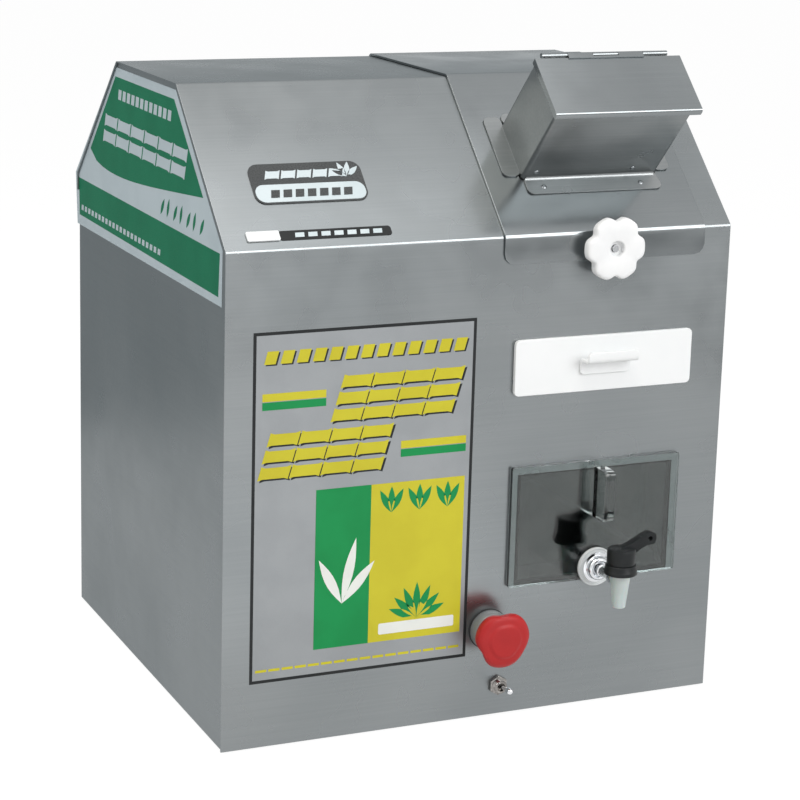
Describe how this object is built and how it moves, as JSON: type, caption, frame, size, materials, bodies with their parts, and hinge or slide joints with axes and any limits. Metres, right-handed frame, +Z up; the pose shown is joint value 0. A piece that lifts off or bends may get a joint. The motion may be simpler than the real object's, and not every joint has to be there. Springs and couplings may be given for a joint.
{
  "type": "electric countertop sugarcane mill",
  "caption": "Countertop cane juicer with a lidded feed chute, geared grooved rollers in a steel housing, a strainer drawer and a clear juice tank with a tap.",
  "frame": {"origin": "on the ground, centred under the machine's bounding box", "axes": "+Z up, the front with the drawer and the tap faces -Y, +X to the right as seen from the front"},
  "size_m": [0.45, 0.4968, 0.5556],
  "materials": {
    "steel": "brushed stainless sheet, grain along the sheet",
    "inner": "plain stainless sheet",
    "roller": "turned stainless steel",
    "iron": "painted cast iron and plate",
    "motor": "painted aluminium casting",
    "bronze": "plain bearing bronze",
    "chrome": "bright plated metal",
    "white": "white moulded plastic",
    "black": "black moulded plastic",
    "red": "red moulded plastic",
    "grey": "grey moulded plastic",
    "spout": "milky moulded plastic",
    "rubber": "moulded rubber",
    "clear": "clear acrylic sheet with polished edges"
  },
  "bodies": {
    "housing": {"body_shell": "steel", "left_side_panel": "steel", "right_side_panel": "steel", "rear_panel": "steel", "cable_gland": "black", "base_pan": "inner", "foot_front_left": "rubber", "foot_front_right": "rubber", "foot_rear_left": "rubber", "foot_rear_right": "rubber", "left_cheek": "iron", "right_cheek": "iron", "tie_rod_front": "inner", "tie_rod_rear": "inner", "bush_top_left": "bronze", "bush_top_right": "bronze", "bush_front_left": "bronze", "bush_front_right": "bronze", "bush_rear_left": "bronze", "bush_rear_right": "bronze", "gearbox_case": "iron", "motor_body": "motor", "motor_fan_cowl": "motor", "trash_plate": "roller", "juice_funnel": "inner", "rear_hood": "steel", "tank_shelf": "inner", "estop_collar": "grey", "estop_body": "black", "toggle_body": "chrome", "cover_stud": "roller"},
    "roller_cover": {"roller_cover": "steel", "feed_chute": "steel", "hinge_fixed_leaf": "steel", "hinge_pin": "roller"},
    "chute_lid": {"chute_lid": "steel", "hinge_lid_leaf": "steel"},
    "star_knob": {"star_knob": "white"},
    "drawer": {"strainer_drawer": "white", "drawer_front": "white", "drawer_pull": "white"},
    "strainer": {"strainer_plate": "roller"},
    "tank": {"juice_tank": "clear", "tank_front": "clear", "tap_washer": "chrome", "tap_nut": "chrome", "tap_body": "spout", "tap_collar": "black"},
    "tap_lever": {"tap_lever": "black"},
    "stop_plunger": {"estop_plunger": "grey"},
    "stop_head": {"estop_head": "red"},
    "toggle_lever": {"toggle_lever": "chrome"},
    "top_roller": {"top_roller": "roller", "top_roller_gear": "iron", "bull_gear": "iron"},
    "front_roller": {"front_roller": "roller", "front_roller_gear": "iron"},
    "rear_roller": {"rear_roller": "roller", "rear_roller_gear": "iron"},
    "drive_pinion": {"drive_pinion": "roller"}
  },
  "joints": [
    {"name": "top_roller_turn", "type": "hinge", "parent": "housing", "child": "top_roller", "pos_m": [0.108, -0.03, 0.42196], "axis": [1, 0, 0], "continuous": true},
    {"name": "front_roller_turn", "type": "hinge", "parent": "housing", "child": "front_roller", "pos_m": [0.108, -0.08066, 0.37365], "axis": [1, 0, 0], "continuous": true},
    {"name": "rear_roller_turn", "type": "hinge", "parent": "housing", "child": "rear_roller", "pos_m": [0.108, 0.02066, 0.37365], "axis": [1, 0, 0], "continuous": true},
    {"name": "drive_pinion_turn", "type": "hinge", "parent": "housing", "child": "drive_pinion", "pos_m": [-0.01, 0.01687, 0.34077], "axis": [1, 0, 0], "continuous": true},
    {"name": "cover_lift", "type": "slide", "parent": "housing", "child": "roller_cover", "axis": [0, 0, 1], "range_m": [0, 0.15]},
    {"name": "lid_hinge", "type": "hinge", "parent": "roller_cover", "child": "chute_lid", "pos_m": [0.108, -0.1654, 0.55345], "axis": [-1, 0, 0], "range_deg": [0, 100]},
    {"name": "knob_turn", "type": "hinge", "parent": "housing", "child": "star_knob", "pos_m": [0.106, -0.2004, 0.3997], "axis": [0, -1, 0], "continuous": true},
    {"name": "drawer_slide", "type": "slide", "parent": "housing", "child": "drawer", "axis": [0, -1, 0], "range_m": [0, 0.15]},
    {"name": "strainer_lift", "type": "slide", "parent": "drawer", "child": "strainer", "axis": [0, 0, 1], "range_m": [0, 0.03]},
    {"name": "tank_slide", "type": "slide", "parent": "housing", "child": "tank", "axis": [0, -1, 0], "range_m": [0, 0.2]},
    {"name": "tap_lever_turn", "type": "hinge", "parent": "tank", "child": "tap_lever", "pos_m": [0.108, -0.2344, 0.146], "axis": [0, 0, -1], "range_deg": [0, 90]},
    {"name": "stop_push", "type": "slide", "parent": "housing", "child": "stop_plunger", "axis": [0, 1, 0], "range_m": [0, 0.004], "stiffness_N_per_m": 1500, "springref_m": -0.004},
    {"name": "stop_twist", "type": "hinge", "parent": "stop_plunger", "child": "stop_head", "pos_m": [0.0111, -0.2104, 0.0781], "axis": [0, 1, 0], "range_deg": [0, 30], "stiffness_Nm_per_rad": 0.05},
    {"name": "toggle_throw", "type": "hinge", "parent": "housing", "child": "toggle_lever", "pos_m": [0.022, -0.1894, 0.027], "axis": [1, 0, 0], "range_deg": [0, 14]}
  ],
  "couplings": [
    {"joint": "front_roller_turn", "follows": "top_roller_turn", "ratio": -1.1875},
    {"joint": "rear_roller_turn", "follows": "top_roller_turn", "ratio": -1.1875},
    {"joint": "drive_pinion_turn", "follows": "top_roller_turn", "ratio": -4}
  ]
}
